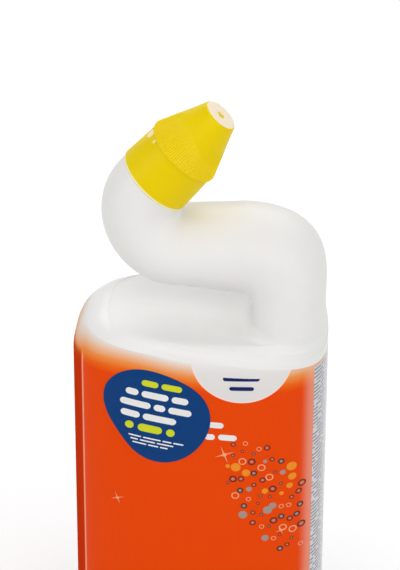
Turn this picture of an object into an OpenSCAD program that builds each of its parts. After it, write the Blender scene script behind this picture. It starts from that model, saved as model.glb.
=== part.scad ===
// Toilet cleaner bottle with a bent neck and a squeeze-and-turn cap.
// Millimetres, +Z up, the front towards -Y, the origin on the ground under the middle of the body.
// The shell is a loft: a chain of superellipse rings, each one strung between a point on the left
// outline and a point on the right outline of the bottle as it is seen from the front.
// Cap, nozzle and seal are turned about the axis of the neck's mouth.

/* [Body] */
// Width of the body, left to right
body_w = 98; // [94:1:104]
// Depth of the body, front to back
body_d = 62; // [58:1:68]
// Height where the shoulder begins on the right
wall_h = 153; // [135:1:170]
// How much higher the shoulder begins on the left
shoulder_rise = 4; // [2:0.5:6]
// Width of the shoulder's rounding on the left
shoulder_in = 16.5; // [14:0.5:19]
// Height of the shoulder's rounding on the left
shoulder_up = 15; // [13:0.5:17]
// Slope of the shoulder, from the left down to the neck
slope = 0.08; // [0.05:0.01:0.12]
// Wall thickness of the blown shell
wall_t = 1; // [0.8:0.1:1.4]
// Rounding between the wall and the base
base_round = 6; // [4:1:8]
// Height of the push-up in the base
push_up = 4; // [3:0.5:6]

/* [Neck] */
// Width of the column that rises from the shoulder
column_w = 28; // [26:1:31]
// Depth of the column, front to back
column_d = 44; // [40:1:46]
// Height of the gap's upright side
column_rise = 4.5; // [3.5:0.5:12]
// Height of the cross tube beside the column
tube_h = 34.5; // [32.5:0.5:36.5]
// Depth of the cross tube beside the column
tube_d = 37; // [35.5:0.5:39]
// Length of the cross tube between its two bends
tube_len = 23.5; // [21:0.5:26]
// Angle of the mouth above the horizontal
neck_angle = 49; // [45:0.5:52]

/* [Finish] */
// Outer diameter of the threaded finish
finish_d = 20.6; // [20:0.1:21]
// Bore of the finish
bore_d = 17.8; // [17:0.1:18.2]
// Height of the finish above the collar
finish_h = 14; // [13:0.5:15]
// Rise of the thread in one turn
lead = 4; // [3.6:0.1:4.4]
// Turns of thread on the finish
turns = 1.5; // [1.25:0.25:1.75]
// Height of the thread's ridge
thread_h = 0.9; // [0.7:0.1:1]
// Height of the two lock lugs on the collar
lug_h = 4; // [3:0.5:4.5]

/* [Nozzle] */
// Length of the spout above the flange
spout_h = 10; // [8:0.5:12]
// Diameter of the jet hole
jet_d = 3.2; // [2.4:0.1:4]
// Thickness of the nozzle's walls
nozzle_t = 1.2; // [1:0.1:1.4]

/* [Cap] */
// Height of the cap
cap_h = 38; // [36:0.5:42]
// Height of the skirt below the ledge
skirt_h = 16.5; // [16:0.1:17.2]
// Diameter of the skirt at its rim
skirt_d = 30.2; // [29.8:0.1:30.6]
// How far the ledge stands out over the skirt
ledge_out = 0.6; // [0.3:0.1:1]
// Diameter of the flat tip
tip_d = 14.2; // [12.6:0.2:15.4]
// Thickness of the cap's walls
cap_t = 1.3; // [1.1:0.1:1.4]
// Number of fine ribs on the cone
rib_count = 96; // [72:4:108]
// Height of a rib
rib_h = 0.3; // [0.2:0.05:0.4]
// Width of the two thinned windows under the ledge
window_w = 7.6; // [6:0.2:8]
// Height of the two windows
window_h = 3; // [2:0.5:3.5]
// How far the windows are sunk into the skirt
window_in = 0.4; // [0.2:0.1:0.6]
// Thickness of the soft seal ring
seal_t = 1; // [0.8:0.1:1.2]

/* [Film and sticker] */
// Thickness of the shrink film
film_t = 0.15; // [0.1:0.05:0.25]
// Height of the film's lower edge
film_low = 8; // [7:1:20]
// Mean diameter of the sticker
sticker_d = 40.4; // [34:0.2:42]
// Distance of the sticker's middle from the body's left side
sticker_in = 34.8; // [32:0.2:38]
// Distance of the sticker's middle below the shoulder's lowest edge
sticker_drop = 12.7; // [11:0.1:18]
// Thickness of the sticker
sticker_t = 0.15; // [0.1:0.05:0.25]

/* [Fill] */
// Height left empty between the cleaner and the shoulder
headspace = 10; // [6:1:80]

/* [Fits] */
// Gap between flat faces that meet
seat_gap = 0.1; // [0.05:0.05:0.15]
// Gap between skins that lie on one another
skin_gap = 0.05; // [0.05:0.01:0.1]
// Gap between threads and lugs that pass
run_gap = 0.35; // [0.3:0.05:0.4]

/* [Hidden] */
$fn = 96;

// Points on every ring of the loft
SIDES = 44;
half_w = body_w / 2;
half_d = body_d / 2;
// Fullness of a section: 2 is an ellipse, more is squarer
body_n = 3.3;
column_n = 2.6;
neck_n = 2;
// Width of the flat ring that the bottle stands on
foot_w = 3;
// How far the shoulder's front and back draw in over its rounding
front_in = 5;
// How far the shoulder climbs on the right over the same stretch
right_rise = 12;
// Rounding between the shoulder and the column
fillet_r = 5;
// How far the column's right side stands in from the wall
column_inset = 1;
// Inner radii of the two bends, and how much their outer sides fill out
bend1_r = 4;
bend1_fill = 3;
bend2_r = 1;
bend2_fill = 0.75;
// Height and depth of the cross tube where the second bend begins
tube_end_h = tube_h - 5.5;
tube_end_d = tube_d + 3.5;
// Share of the cross tube's taper that is on its underside
under_share = 0.5;
// Straight collar under the finish
collar_r = 14.6;
collar_t = 2;
// Gap between the collar and the cap's rim
rim_gap = 0.3;

// Rows of the loft in each stretch
WALL_ROWS = 5;
SHOULDER_ROWS = 6;
SLOPE_ROWS = 7;
FILLET_ROWS = 5;
BEND1_ROWS = 9;
TUBE_ROWS = 4;
BEND2_ROWS = 11;

// Signed power, for the superellipse
function spow(v, e) = sign(v) * pow(abs(v), e);
function mix(a, b, t) = a + (b - a) * t;
function smooth(t) = t * t * (3 - 2 * t);

// A row of the loft is [left x, left z, right x, right z, half depth, fullness]
function level(inset, z) = [inset - half_w, z, half_w - inset, z, half_d - inset, body_n];
function ring(s) = [
    for (j = [0 : SIDES - 1])
    let (p = spow(cos(360 * j / SIDES), 2 / s[5]), q = spow(sin(360 * j / SIDES), 2 / s[5]))
    [mix(s[0], s[2], (1 + p) / 2), s[4] * q, mix(s[1], s[3], (1 + p) / 2)]
];

// Push-up, standing ring and the rounding up to the wall
foot_in = base_round + foot_w;
base_rows = concat(
    [level(foot_in + 14, push_up), level(foot_in + 6, push_up * 0.75), level(foot_in, 0)],
    [for (a = [0 : 30 : 90]) level(base_round * (1 - sin(a)), base_round * (1 - cos(a)))]
);

// Wall: the rings tilt little by little, until they meet the higher shoulder on the left
left_h = wall_h + shoulder_rise;
function wall_row(t) =
    [-half_w, mix(base_round, left_h, t), half_w, mix(base_round, wall_h, t), half_d, body_n];
wall_rows = [for (i = [1 : WALL_ROWS]) wall_row(i / WALL_ROWS)];

// Shoulder: an elliptic quarter and a little more on the left, until it meets the slope
over = atan(slope * shoulder_in / shoulder_up);
function shoulder_row(t) = [
    -half_w + shoulder_in * (1 - cos(t * (90 + over))),
    left_h + shoulder_up * sin(t * (90 + over)),
    half_w,
    wall_h + right_rise * t,
    half_d - front_in * (1 - cos(90 * t)),
    mix(body_n, column_n, 0.15 * t)
];
shoulder_rows = [for (i = [1 : SHOULDER_ROWS]) shoulder_row(i / SHOULDER_ROWS)];

// Slope down to the foot of the column, and the fillet into the column
lean = atan(slope);
crest = shoulder_row(1);
column_x = half_w - column_inset - column_w;
slope_end_x = column_x - fillet_r * (1 + sin(lean));
slope_end_z = crest[1] - slope * (slope_end_x - crest[0]);
fillet_z = slope_end_z + fillet_r * cos(lean);
// The right-hand side climbs and draws in evenly over both stretches
function right_x(i) = half_w - column_inset * i / (SLOPE_ROWS + FILLET_ROWS);
function right_z(i) = mix(crest[3], fillet_z, i / (SLOPE_ROWS + FILLET_ROWS));
function slope_row(i, t) = [
    mix(crest[0], slope_end_x, t),
    mix(crest[1], slope_end_z, t),
    right_x(i),
    right_z(i),
    mix(crest[4], column_d / 2, t),
    mix(crest[5], column_n, t)
];
function fillet_row(i, t) = [
    column_x - fillet_r + fillet_r * cos(mix(-90 - lean, 0, t)),
    fillet_z + fillet_r * sin(mix(-90 - lean, 0, t)),
    right_x(i),
    right_z(i),
    column_d / 2,
    column_n
];
foot_rows = concat(
    [for (i = [1 : SLOPE_ROWS]) slope_row(i, i / SLOPE_ROWS)],
    [for (i = [1 : FILLET_ROWS]) fillet_row(SLOPE_ROWS + i, i / FILLET_ROWS)]
);

// Column and the first bend, which turns the neck to the left
bend1_x = column_x - bend1_r;
bend1_z = fillet_z + column_rise;
column_rows = [[column_x, bend1_z, half_w - column_inset, bend1_z, column_d / 2, column_n]];
function bend1_out(t) = bend1_r + mix(column_w, tube_h, smooth(t)) + bend1_fill * pow(sin(180 * t), 2);
function bend1_row(t) = [
    bend1_x + bend1_r * cos(90 * t),
    bend1_z + bend1_r * sin(90 * t),
    bend1_x + bend1_out(t) * cos(90 * t),
    bend1_z + bend1_out(t) * sin(90 * t),
    mix(column_d, tube_d, smooth(t)) / 2,
    mix(column_n, neck_n, smooth(t))
];
bend1_rows = [for (i = [1 : BEND1_ROWS]) bend1_row(i / BEND1_ROWS)];

// Cross tube, which tapers towards the second bend
tube_low = bend1_z + bend1_r;
tube_taper = tube_h - tube_end_h;
function tube_row(t) = [
    bend1_x - tube_len * t,
    tube_low + under_share * tube_taper * t,
    bend1_x - tube_len * t,
    tube_low + tube_h - (1 - under_share) * tube_taper * t,
    mix(tube_d, tube_end_d, t) / 2,
    neck_n
];
tube_rows = [for (i = [1 : TUBE_ROWS]) tube_row(i / TUBE_ROWS)];

// Second bend, about a centre above the tube, which turns the neck up to the mouth
bend2_x = bend1_x - tube_len;
bend2_z = tube_row(1)[3] + bend2_r;
bend2_turn = 180 - neck_angle;
function bend2_out(t) = bend2_r + mix(tube_end_h, 2 * collar_r, smooth(t)) + bend2_fill * sin(180 * t);
function bend2_row(t) = [
    bend2_x + bend2_out(t) * cos(-90 - bend2_turn * t),
    bend2_z + bend2_out(t) * sin(-90 - bend2_turn * t),
    bend2_x + bend2_r * cos(-90 - bend2_turn * t),
    bend2_z + bend2_r * sin(-90 - bend2_turn * t),
    mix(tube_end_d / 2, collar_r, smooth(t)),
    neck_n
];
bend2_rows = [for (i = [1 : BEND2_ROWS]) bend2_row(i / BEND2_ROWS)];

// Straight collar, square to the mouth's axis
axis_x = cos(neck_angle);
axis_z = sin(neck_angle);
bend_end = bend2_row(1);
function along(s, h) = [s[0] + axis_x * h, s[1] + axis_z * h, s[2] + axis_x * h, s[3] + axis_z * h, s[4], s[5]];
collar_rows = [along(bend_end, collar_t)];
// Middle of the collar's top face, where the finish stands
mouth_x = (collar_rows[0][0] + collar_rows[0][2]) / 2;
mouth_z = (collar_rows[0][1] + collar_rows[0][3]) / 2;

// Depth and fullness of the rows between first and last drawn towards the mean of their
// neighbours, a number of times, so that each stretch runs softly into the next
function drawn(s, mean) = [s[0], s[1], s[2], s[3], (s[4] + mean[4]) / 2, (s[5] + mean[5]) / 2];
function relax(rows, first, last, times) = times == 0 ? rows : relax([
    for (i = [0 : len(rows) - 1])
    i < first || i > last ? rows[i] : drawn(rows[i], (rows[i - 1] + rows[i + 1]) / 2)
], first, last, times - 1);

WALL_START = len(base_rows);
plain_rows = concat(
    base_rows, wall_rows, shoulder_rows, foot_rows, column_rows, bend1_rows, tube_rows, bend2_rows, collar_rows
);
shell_rows = relax(plain_rows, WALL_START + WALL_ROWS, len(plain_rows) - 4, 3);
shell_rings = [for (s = shell_rows) ring(s)];
LAST = len(shell_rows) - 1;

// The same rings moved inwards along the surface's own normals
function unit(v) = v / norm(v);
function normal(r, i, j) =
    let (
        up = r[min(i + 1, len(r) - 1)][j] - r[max(i - 1, 0)][j],
        round = r[i][(j + 1) % SIDES] - r[i][(j + SIDES - 1) % SIDES]
    )
    unit(cross(round, up));
function inset(r, t) = [
    for (i = [0 : len(r) - 1])
    [for (j = [0 : SIDES - 1]) r[i][j] - normal(r, i, j) * t]
];
function part_of(r, first, last) = [for (i = [first : last]) r[i]];
function back_to_front(r) = [for (i = [len(r) - 1 : -1 : 0]) r[i]];

// A closed solid through a chain of rings: with a flat end at each end of the chain, or, as a
// loop, with its last ring joined to its first
module skin(rings, loop = false) {
    points = [for (r = rings) each r];
    joined = loop ? len(rings) - 1 : len(rings) - 2;
    sides = [
        for (i = [0 : joined], j = [0 : SIDES - 1])
        let (
            next = ((i + 1) % len(rings)) * SIDES,
            a = i * SIDES + j,
            b = i * SIDES + (j + 1) % SIDES
        )
        each [[a, next + j, next + (j + 1) % SIDES], [a, next + (j + 1) % SIDES, b]]
    ];
    top = (len(rings) - 1) * SIDES;
    ends = loop ? [] : [
        [for (j = [0 : SIDES - 1]) j],
        [for (j = [SIDES - 1 : -1 : 0]) top + j]
    ];
    polyhedron(points, concat(sides, ends));
}

// Frame of the mouth: its own +Z runs out along the mouth's axis
module at_mouth() {
    translate([mouth_x, 0, mouth_z]) rotate([0, 90 - neck_angle, 0]) children();
}

// Thread ridge on a wall of radius root, with its crest at radius crest, inside or outside.
// It rises by lead in a turn, like a right-hand screw, and fades in and out at its ends.
THREAD_STEPS = 24;
thread_root_w = 1.2;
thread_crest_w = 0.6;
module thread(root, crest, z0) {
    n = round(THREAD_STEPS * turns);
    side = sign(crest - root);
    sunk = root - side * 0.2;
    points = [
        for (i = [0 : n])
        let (
            a = 360 * turns * i / n,
            z = z0 + lead * turns * i / n,
            top = mix(root, crest, min(1, 0.1 + i / 3, 0.1 + (n - i) / 3))
        )
        each [
            [sunk * cos(a), sunk * sin(a), z - side * thread_root_w / 2],
            [top * cos(a), top * sin(a), z - side * thread_crest_w / 2],
            [top * cos(a), top * sin(a), z + side * thread_crest_w / 2],
            [sunk * cos(a), sunk * sin(a), z + side * thread_root_w / 2]
        ]
    ];
    sides = [
        for (i = [0 : n - 1], k = [0 : 3])
        let (a = i * 4 + k, b = i * 4 + (k + 1) % 4)
        each [[a, b, b + 4], [a, b + 4, a + 4]]
    ];
    polyhedron(points, concat(sides, [[3, 2, 1, 0], [4 * n, 4 * n + 1, 4 * n + 2, 4 * n + 3]]));
}

// Two blocks on opposite sides of the axis, between radii r0 and r1 and heights z0 and z1
lug_span = 34;
module lugs(r0, r1, z0, z1) {
    for (a = [0, 180])
        rotate([0, 0, 180 - window_turn + a - lug_span / 2])
            rotate_extrude(angle = lug_span)
                translate([r0, z0]) square([r1 - r0, z1 - z0]);
}

// Heights above the collar, along the mouth's axis
finish_r = finish_d / 2;
bore_r = bore_d / 2;
flange_top = finish_h + nozzle_t;
spout_top = flange_top + spout_h;
seal_low = flange_top + seat_gap;
plate_low = seal_low + seal_t + seat_gap;
cap_top = rim_gap + cap_h;
ledge_z = rim_gap + skirt_h;
// Radii about the axis
crest_r = finish_r + thread_h;
sleeve_bore = crest_r + run_gap;
sleeve_t = 1;
lug_r = 12.7;
skirt_r = skirt_d / 2;
// The skirt draws in a little towards the ledge
skirt_top_r = skirt_r - 0.8;
ledge_r = skirt_top_r + ledge_out;
tip_r = tip_d / 2;
spout_r = 6;
spout_tip_r = jet_d / 2 + 1.2;
// Angle of the two windows and the lugs behind the plane of the neck
window_turn = 2;
// Distance between the ledge and the top of a window
window_drop = 0.3;

// The finish's own height where the threads start, and half a turn's rise between the two
thread_z = finish_h - 2.4 - lead * turns;

module finish() {
    sunk = collar_t + 0.4;
    translate([0, 0, -sunk]) difference() {
        cylinder(r = finish_r, h = finish_h + sunk);
        translate([0, 0, -1]) cylinder(r = bore_r, h = finish_h + sunk + 2);
    }
    thread(finish_r, crest_r, thread_z);
    lugs(finish_r - 0.3, lug_r, -0.3, lug_h);
}

// Blown shell, one piece: outer rings up to the collar, over its face, and back down inside
collar_hole_r = (finish_r + bore_r) / 2;
hole_row = [
    mouth_x - collar_hole_r * axis_z, mouth_z + collar_hole_r * axis_x,
    mouth_x + collar_hole_r * axis_z, mouth_z - collar_hole_r * axis_x,
    collar_hole_r, 2
];
module bottle() {
    inner = part_of(inset(shell_rings, wall_t), 0, LAST - 1);
    color("white") {
        skin(concat(
            shell_rings,
            [ring(hole_row), ring(along(hole_row, -collar_t))],
            back_to_front(inner)
        ));
        at_mouth() finish();
    }
}

// Jet insert: plug in the bore, flange on the mouth, hollow spout
plug_l = 9;
plug_r = bore_r - skin_gap;
module nozzle() {
    color("ivory") at_mouth() rotate_extrude() polygon([
        [plug_r - nozzle_t, finish_h - plug_l],
        [plug_r, finish_h - plug_l],
        [plug_r, finish_h],
        [finish_r - 0.1, finish_h],
        [finish_r - 0.1, flange_top],
        [spout_r, flange_top],
        [spout_tip_r, spout_top],
        [jet_d / 2, spout_top],
        [jet_d / 2, spout_top - 3],
        [spout_r - nozzle_t, finish_h],
        [plug_r - nozzle_t, finish_h]
    ]);
}

// Soft ring between the nozzle's flange and the cap's inner plate
seal_in_r = spout_r + 1.2;
module seal_ring() {
    color("gainsboro") at_mouth() translate([0, 0, seal_low]) difference() {
        cylinder(r = crest_r, h = seal_t);
        translate([0, 0, -1]) cylinder(r = seal_in_r, h = seal_t + 2);
    }
}

// Cap, one piece: skirt, ledge, ribbed cone, inner plate with its threaded sleeve, and the pin
// that plugs the jet hole
pin_r = jet_d / 2 - 0.25;
pin_z = spout_top - 1.5;
plate_hole_r = spout_r + 2;
sleeve_z = lug_h + 0.6;
tip_edge = 0.6;
ledge_t = 0.4;
module cap_body() {
    rotate_extrude() polygon([
        [skirt_r, rim_gap],
        [skirt_top_r, ledge_z],
        [ledge_r, ledge_z],
        [ledge_r, ledge_z + ledge_t],
        [tip_r, cap_top - tip_edge],
        [tip_r - tip_edge, cap_top],
        [0, cap_top],
        [0, pin_z],
        [pin_r, pin_z],
        [pin_r, cap_top - cap_t],
        [tip_r - cap_t, cap_top - cap_t],
        [ledge_r - cap_t, plate_low + cap_t],
        [plate_hole_r, plate_low + cap_t],
        [plate_hole_r, plate_low],
        [sleeve_bore, plate_low],
        [sleeve_bore, sleeve_z],
        [sleeve_bore + sleeve_t, sleeve_z],
        [sleeve_bore + sleeve_t, plate_low],
        [skirt_top_r - cap_t, plate_low],
        [skirt_r - cap_t, rim_gap]
    ]);
}
// Ribs: ridges that stand rib_h over the cone at the ledge and fade into it part of the way up
rib_share = 0.6;
rib_low = ledge_z + ledge_t;
rib_top = mix(rib_low, cap_top - tip_edge, rib_share);
function cone_r(z) = mix(ledge_r, tip_r, (z - rib_low) / (cap_top - tip_edge - rib_low));
function rib_ring(z, out, sunk) = [
    for (j = [0 : 2 * rib_count - 1])
    let (a = 180 * j / rib_count, r = cone_r(z) + (j % 2 == 0 ? out : sunk))
    [r * cos(a), r * sin(a), z]
];
module ribs() {
    m = 2 * rib_count;
    rings = [
        rib_ring(rib_low + 0.1, rib_h, -0.25),
        rib_ring(rib_top, -0.02, -0.3),
        rib_ring(rib_top, -0.7, -0.7),
        rib_ring(rib_low + 0.1, -0.7, -0.7)
    ];
    sides = [
        for (i = [0 : 3], j = [0 : m - 1])
        let (a = i * m + j, b = i * m + (j + 1) % m, d = ((i + 1) % 4) * m + j, c = ((i + 1) % 4) * m + (j + 1) % m)
        each [[a, d, c], [a, c, b]]
    ];
    polyhedron([for (r = rings) each r], sides);
}
window_span = 2 * asin(window_w / 2 / skirt_top_r);
window_low = ledge_z - window_drop - window_h;
// Angle between a window's middle and the small pointer beside it
pointer_turn = 31;
module cap() {
    color("gold") at_mouth() {
        difference() {
            cap_body();
            // windows
            for (a = [0, 180])
                rotate([0, 0, 180 - window_turn + a - window_span / 2])
                    rotate_extrude(angle = window_span)
                        translate([skirt_top_r - window_in, window_low]) square([4, window_h]);
            // gate mark in the tip
            translate([0, 0, cap_top - 0.4]) cylinder(r = 1.6, h = 1);
        }
        thread(sleeve_bore, finish_r + run_gap, thread_z + lead / 2);
        lugs(lug_r + run_gap, skirt_r - cap_t + 0.3, rim_gap + 0.6, lug_h - 0.4);
        rotate([0, 0, 180 - window_turn + pointer_turn])
            translate([skirt_top_r - 0.5, -0.4, ledge_z - 2.1]) cube([0.8, 0.8, 1.8]);
        ribs();
    }
}

// Printed film, shrunk on the wall and up over the shoulder's edge
FILM_ROWS = 5;
module shrink_sleeve() {
    rows = concat(
        [level(0, film_low)],
        part_of(shell_rows, WALL_START, WALL_START + WALL_ROWS + FILM_ROWS - 1)
    );
    rings = [for (s = rows) ring(s)];
    color("orangered") skin(
        concat(inset(rings, -skin_gap - film_t), back_to_front(inset(rings, -skin_gap))), loop = true
    );
}

// Sticker on the film's front, a rounded pebble outline that follows the wall and the shoulder
sticker_x = sticker_in - half_w;
sticker_z = wall_h - sticker_drop;
STICKER_RINGS = 6;
STICKER_SIDES = 36;
function pebble(a) = sticker_d / 2 * (1 + 0.09 * cos(2 * (a + 44.5)) + 0.054 * cos(3 * (a - 23.6)));
// Half depth of the wall at x, and its outward direction on the front
function wall_depth(x) = half_d * pow(1 - pow(abs(x) / half_w, body_n), 1 / body_n);
function wall_out(x) = unit([
    sign(x) * pow(abs(x) / half_w, body_n - 1) / half_w,
    -pow(wall_depth(x) / half_d, body_n - 1) / half_d
]);
// The wall draws in over the shoulder's rounding
function across(x, left, right) = mix(left, right, (x + half_w) / body_w);
function round_part(x, z) =
    let (low = across(x, left_h, wall_h), high = across(x, crest[1], crest[3]))
    max(0, (z - low) / (high - low));
function drawn_in(x, z) = 1 - front_in / half_d * (1 - cos(90 * round_part(x, z)));
// The sticker's outline, k of the way out from its middle
function sticker_point(k, a, out) =
    let (
        x = sticker_x + k * pebble(a) * cos(a),
        z = sticker_z + k * pebble(a) * sin(a),
        away = wall_out(x) * out
    )
    [x + away[0], away[1] - wall_depth(x) * drawn_in(x, z), z];
function sticker_face(out) = concat(
    [sticker_point(0, 0, out)],
    [
        for (i = [1 : STICKER_RINGS], j = [0 : STICKER_SIDES - 1])
        sticker_point(i / STICKER_RINGS, 360 * j / STICKER_SIDES, out)
    ]
);
module promo_sticker() {
    n = STICKER_SIDES;
    low = 2 * skin_gap + film_t + skin_gap;
    back = 1 + n * STICKER_RINGS;
    rim = 1 + n * (STICKER_RINGS - 1);
    fan = [for (j = [0 : n - 1]) [0, 1 + (j + 1) % n, 1 + j]];
    belts = [
        for (i = [0 : STICKER_RINGS - 2], j = [0 : n - 1])
        let (a = 1 + i * n + j, b = 1 + i * n + (j + 1) % n)
        each [[a, b, b + n], [a, b + n, a + n]]
    ];
    face = concat(fan, belts);
    edge = [
        for (j = [0 : n - 1])
        let (a = rim + j, b = rim + (j + 1) % n)
        each [[a, b, back + b], [a, back + b, back + a]]
    ];
    color("navy") polyhedron(
        concat(sticker_face(low + sticker_t), sticker_face(low)),
        concat(face, [for (f = face) [back + f[2], back + f[1], back + f[0]]], edge)
    );
}

// Cleaner in the body, up to its level
module liquid() {
    rings = [for (s = concat(base_rows, [level(0, wall_h - headspace)])) ring(s)];
    color("skyblue") skin(inset(rings, wall_t + skin_gap));
}

bottle();
nozzle();
seal_ring();
cap();
shrink_sleeve();
promo_sticker();
liquid();
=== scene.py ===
import math

import bpy
import numpy as np
from mathutils import Matrix, Vector


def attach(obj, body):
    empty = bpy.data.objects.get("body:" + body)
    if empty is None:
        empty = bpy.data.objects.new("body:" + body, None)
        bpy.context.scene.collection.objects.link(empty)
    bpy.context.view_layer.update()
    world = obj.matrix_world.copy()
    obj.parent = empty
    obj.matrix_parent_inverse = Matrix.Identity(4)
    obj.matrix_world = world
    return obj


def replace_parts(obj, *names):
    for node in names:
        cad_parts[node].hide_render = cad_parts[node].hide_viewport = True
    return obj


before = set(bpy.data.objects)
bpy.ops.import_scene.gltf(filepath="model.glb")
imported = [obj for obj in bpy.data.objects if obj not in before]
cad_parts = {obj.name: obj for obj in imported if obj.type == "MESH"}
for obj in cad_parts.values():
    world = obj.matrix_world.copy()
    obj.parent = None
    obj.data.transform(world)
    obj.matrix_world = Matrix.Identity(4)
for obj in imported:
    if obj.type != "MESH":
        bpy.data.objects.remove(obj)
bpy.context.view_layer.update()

# Lengths are in millimetres until a mesh is built, in the part's own frame: +Z up, front towards -Y.
MM = 0.001

# Body and shoulder
BODY_W, BODY_D, BODY_N = 98, 62, 3.3
WALL_H, SHOULDER_RISE = 153, 4
SHOULDER_IN, SHOULDER_UP, FRONT_IN, RIGHT_RISE = 16.5, 15, 5, 12
SLOPE, BASE_ROUND, FOOT_W, PUSH_UP = 0.08, 6, 3, 4
# Column, bends and cross tube
COLUMN_W, COLUMN_D, COLUMN_N, COLUMN_RISE, COLUMN_INSET, FILLET_R = 28, 44, 2.6, 4.5, 1, 5
BEND1_R, BEND1_FILL, BEND2_R, BEND2_FILL = 4, 3, 1, 0.75
TUBE_H, TUBE_D, TUBE_LEN, TUBE_END_H, TUBE_END_D, UNDER_SHARE = 34.5, 37, 23.5, 29, 40.5, 0.5
NECK_ANGLE, NECK_N, COLLAR_R, COLLAR_T = 49, 2, 14.6, 2
# Finish, nozzle and cap, along the mouth's axis
FINISH_R, BORE_R, FINISH_H, LEAD, TURNS, THREAD_H = 10.3, 8.9, 14, 4, 1.5, 0.9
LUG_R, LUG_H, LUG_SPAN, WINDOW_TURN = 12.7, 4, 34, 2
CAP_H, RIM_GAP, RIM_LOW, SKIRT_H, SKIRT_R, SKIRT_TOP_R = 38, 0.3, 0.1, 16.5, 15.1, 14.3
LEDGE_OUT, LEDGE_T, TIP_R, TIP_EDGE, CAP_T, SPOUT_TOP = 0.6, 0.4, 7.1, 0.6, 1.3, 25.2
RIB_COUNT, RIB_H, RIB_SHARE = 96, 0.34, 0.62
WINDOW_SPAN, WINDOW_DROP, WINDOW_IN, WINDOW_MID_H, WINDOW_END_H = 15.5, 0.3, 0.4, 5, 2.6
POINTER_TURN, POINTER_SPAN, POINTER_LOW, POINTER_OUT = 31, 1.6, 2.1, 0.25
RUN_GAP, PLATE_LOW, PLATE_HOLE_R = 0.35, 16.4, 8
# Film and sticker
FILM_T, FILM_LOW, FILM_SHARE, SKIN_GAP = 0.15, 8, 5 / 6, 0.05
FILM_BARE, FILM_SIDE_X = 6, -44.2
STICKER_D, STICKER_X, STICKER_Z, STICKER_T = 40.4, -14.2, 140.3, 0.15

HALF_W, HALF_D = BODY_W / 2, BODY_D / 2
FILM_OUT = SKIN_GAP + FILM_T


def mix(a, b, t):
    return a + (b - a) * t


def smooth(t):
    return t * t * (3 - 2 * t)


def spow(value, power):
    return np.sign(value) * np.abs(value) ** power


def sin(degrees):
    return math.sin(math.radians(degrees))


def cos(degrees):
    return math.cos(math.radians(degrees))


# The shell is the part's own loft with finer rows. A row is the left and the right point of the
# outline, the half depth and the fullness of the ring between them.
FINE = 5
SIDES = 176


def level(inset, z):
    return [inset - HALF_W, z, HALF_W - inset, z, HALF_D - inset, BODY_N]


def stretch(row, count):
    """Rows of one stretch, evenly from just after its start to its end."""
    return [row(i / (count * FINE)) for i in range(1, count * FINE + 1)]


def base_rows():
    foot = BASE_ROUND + FOOT_W
    inner = [(foot + 14, PUSH_UP), (foot + 10, 3.8), (foot + 6, 3), (foot + 2, 1)]
    inner += [(foot, 0.1), (foot - 0.6, 0)]
    edge = [(BASE_ROUND * (1 - sin(a)), BASE_ROUND * (1 - cos(a))) for a in range(0, 91, 6)]
    return [level(inset, z) for inset, z in inner + edge]


LEFT_H = WALL_H + SHOULDER_RISE
OVER = math.degrees(math.atan(SLOPE * SHOULDER_IN / SHOULDER_UP))
LEAN = math.degrees(math.atan(SLOPE))


def wall_row(t):
    return [-HALF_W, mix(BASE_ROUND, LEFT_H, t), HALF_W, mix(BASE_ROUND, WALL_H, t), HALF_D, BODY_N]


def shoulder_row(t):
    turn = t * (90 + OVER)
    return [
        -HALF_W + SHOULDER_IN * (1 - cos(turn)), LEFT_H + SHOULDER_UP * sin(turn),
        HALF_W, WALL_H + RIGHT_RISE * t,
        HALF_D - FRONT_IN * (1 - cos(90 * t)), mix(BODY_N, COLUMN_N, 0.15 * t),
    ]


CREST = shoulder_row(1)
COLUMN_X = HALF_W - COLUMN_INSET - COLUMN_W
SLOPE_END_X = COLUMN_X - FILLET_R * (1 + sin(LEAN))
SLOPE_END_Z = CREST[1] - SLOPE * (SLOPE_END_X - CREST[0])
FILLET_Z = SLOPE_END_Z + FILLET_R * cos(LEAN)
SLOPE_PART = 7 / 12


def foot_right(t):
    """The right-hand point climbs and draws in evenly from the crest to the column."""
    return [HALF_W - COLUMN_INSET * t, mix(CREST[3], FILLET_Z, t)]


def slope_row(t):
    left = [mix(CREST[0], SLOPE_END_X, t), mix(CREST[1], SLOPE_END_Z, t)]
    return left + foot_right(SLOPE_PART * t) + [mix(CREST[4], COLUMN_D / 2, t), mix(CREST[5], COLUMN_N, t)]


def fillet_row(t):
    turn = mix(-90 - LEAN, 0, t)
    left = [COLUMN_X - FILLET_R + FILLET_R * cos(turn), FILLET_Z + FILLET_R * sin(turn)]
    return left + foot_right(mix(SLOPE_PART, 1, t)) + [COLUMN_D / 2, COLUMN_N]


BEND1_X = COLUMN_X - BEND1_R
BEND1_Z = FILLET_Z + COLUMN_RISE
TUBE_LOW = BEND1_Z + BEND1_R


def column_row(t):
    z = mix(FILLET_Z, BEND1_Z, t)
    return [COLUMN_X, z, HALF_W - COLUMN_INSET, z, COLUMN_D / 2, COLUMN_N]


def bend1_row(t):
    out = BEND1_R + mix(COLUMN_W, TUBE_H, smooth(t)) + BEND1_FILL * sin(180 * t) ** 2
    return [
        BEND1_X + BEND1_R * cos(90 * t), BEND1_Z + BEND1_R * sin(90 * t),
        BEND1_X + out * cos(90 * t), BEND1_Z + out * sin(90 * t),
        mix(COLUMN_D, TUBE_D, smooth(t)) / 2, mix(COLUMN_N, NECK_N, smooth(t)),
    ]


def tube_row(t):
    x = BEND1_X - TUBE_LEN * t
    taper = (TUBE_H - TUBE_END_H) * t
    low, high = TUBE_LOW + UNDER_SHARE * taper, TUBE_LOW + TUBE_H - (1 - UNDER_SHARE) * taper
    return [x, low, x, high, mix(TUBE_D, TUBE_END_D, t) / 2, NECK_N]


BEND2_X = BEND1_X - TUBE_LEN
BEND2_Z = tube_row(1)[3] + BEND2_R


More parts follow.
